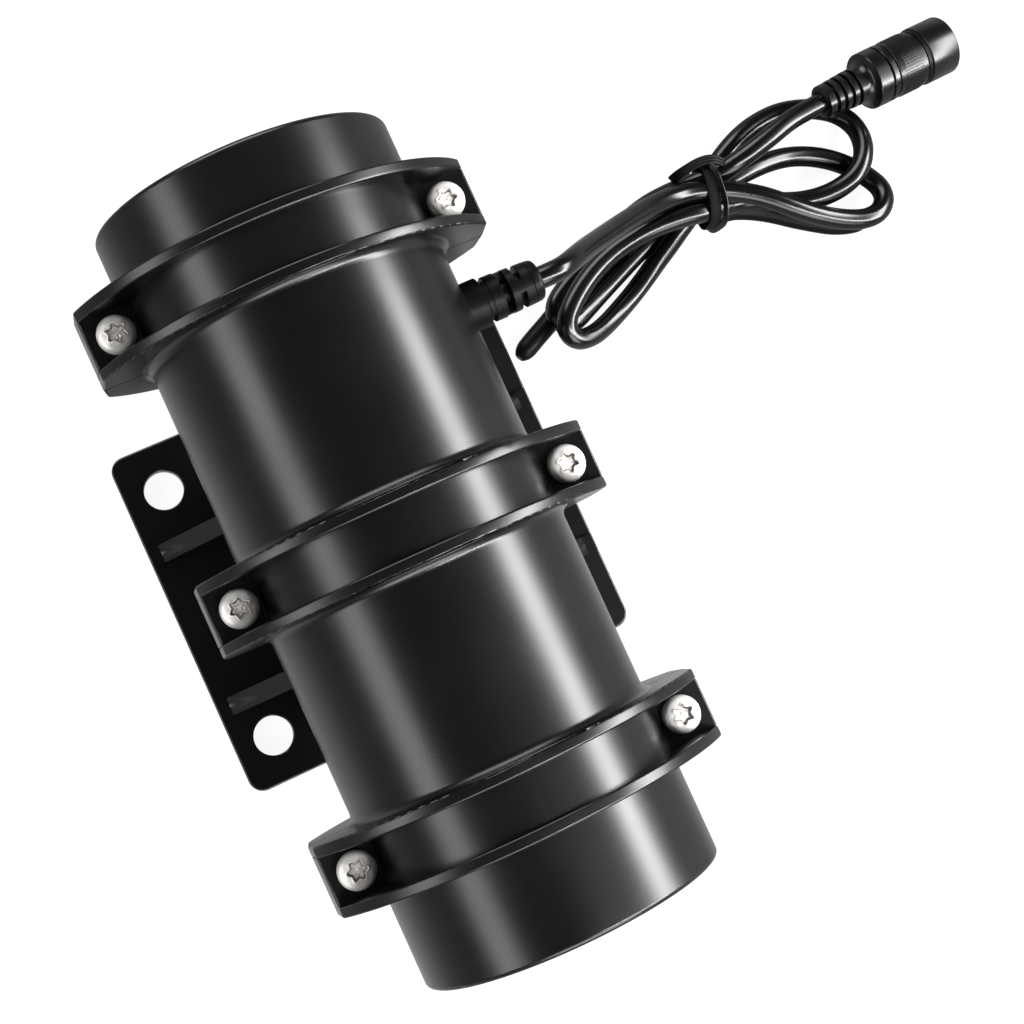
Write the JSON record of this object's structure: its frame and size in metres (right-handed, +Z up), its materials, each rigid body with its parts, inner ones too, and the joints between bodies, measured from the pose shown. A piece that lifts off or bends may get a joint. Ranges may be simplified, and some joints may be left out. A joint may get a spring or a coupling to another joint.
{
  "type": "vibration motor",
  "caption": "Rotary vibration motor with eccentric weights in a cylindrical clamshell housing on a cast bolt-down foot, with a tied lead and a round connector.",
  "frame": {"origin": "middle of the foot's four bolt holes, on the underside of the foot", "axes": "+X along the motor axis toward the end where the lead comes out, +Z up from the foot, -Y toward the lead"},
  "size_m": [0.165, 0.2293, 0.0835],
  "materials": {
    "black_coat": "satin black coat on cast aluminium",
    "gasket": "matte",
    "zinc_steel": "bright satin zinc plate",
    "bare_steel": "turned and ground",
    "bearing_steel": "polished",
    "lamination": "stacked sheet",
    "magnet": "matte sintered ferrite",
    "copper": "enamelled winding and bare copper",
    "carbon": "pressed carbon",
    "brass": "satin",
    "aluminium": "machined",
    "moulding": "phenolic moulding",
    "black_rubber": "moulded, satin",
    "cord_jacket": "smooth semi gloss jacket",
    "wire_red": "extruded insulation",
    "wire_blue": "extruded insulation",
    "black_plastic": "fine satin moulding"
  },
  "bodies": {
    "housing": {"upper_shell": "black_coat", "lower_shell": "black_coat", "parting_gasket": "gasket", "clamp_screws": "zinc_steel", "cable_strain_relief": "black_rubber", "motor_can": "bare_steel", "field_magnet_upper": "magnet", "field_magnet_lower": "magnet", "motor_tie_bolts": "zinc_steel", "front_end_bell": "moulding", "rear_end_bell": "aluminium", "front_bearing_outer": "bearing_steel", "rear_bearing_outer": "bearing_steel", "preload_washer": "bare_steel", "brush_holders": "brass", "brush_spring_upper": "bearing_steel", "brush_spring_lower": "bearing_steel", "lead_wire_supply": "wire_red", "lead_wire_return": "wire_blue", "cord_lead": "cord_jacket", "cord_hank": "cord_jacket", "cord_tail": "cord_jacket", "twist_tie": "black_plastic", "connector_body": "black_rubber", "connector_insulator": "moulding", "connector_sockets": "brass"},
    "rotor": {"rotor_shaft": "bare_steel", "armature_core": "lamination", "armature_windings": "copper", "commutator": "copper", "front_weight_inner": "bare_steel", "front_weight_outer": "bare_steel", "rear_weight_inner": "bare_steel", "rear_weight_outer": "bare_steel", "weight_set_screws": "zinc_steel", "shaft_circlips": "bare_steel", "front_bearing_inner": "bearing_steel", "rear_bearing_inner": "bearing_steel"},
    "front_ball_cage": {"front_bearing_balls": "bearing_steel"},
    "rear_ball_cage": {"rear_bearing_balls": "bearing_steel"},
    "upper_brush": {"brush_upper": "carbon"},
    "lower_brush": {"brush_lower": "carbon"},
    "connector_nut": {"coupling_nut": "black_plastic", "connector_ring": "black_rubber"}
  },
  "joints": [
    {"name": "rotor_spin", "type": "hinge", "parent": "housing", "child": "rotor", "pos_m": [0, 0, 0.05], "axis": [1, 0, 0], "continuous": true},
    {"name": "front_cage_orbit", "type": "hinge", "parent": "housing", "child": "front_ball_cage", "pos_m": [0.0225, 0, 0.05], "axis": [1, 0, 0], "continuous": true},
    {"name": "rear_cage_orbit", "type": "hinge", "parent": "housing", "child": "rear_ball_cage", "pos_m": [-0.0525, 0, 0.05], "axis": [1, 0, 0], "continuous": true},
    {"name": "upper_brush_slide", "type": "slide", "parent": "housing", "child": "upper_brush", "axis": [0, 0, 1], "range_m": [0, 0.002], "deforming": ["brush_spring_upper"]},
    {"name": "lower_brush_slide", "type": "slide", "parent": "housing", "child": "lower_brush", "axis": [0, 0, -1], "range_m": [0, 0.002], "deforming": ["brush_spring_lower"]},
    {"name": "coupling_nut_turn", "type": "hinge", "parent": "housing", "child": "connector_nut", "pos_m": [0.05542, -0.16795, 0.00848], "axis": [0.0689, -0.994, -0.0848], "continuous": true}
  ],
  "couplings": [
    {"joint": "front_cage_orbit", "follows": "rotor_spin", "ratio": 0.381},
    {"joint": "rear_cage_orbit", "follows": "rotor_spin", "ratio": 0.381}
  ]
}
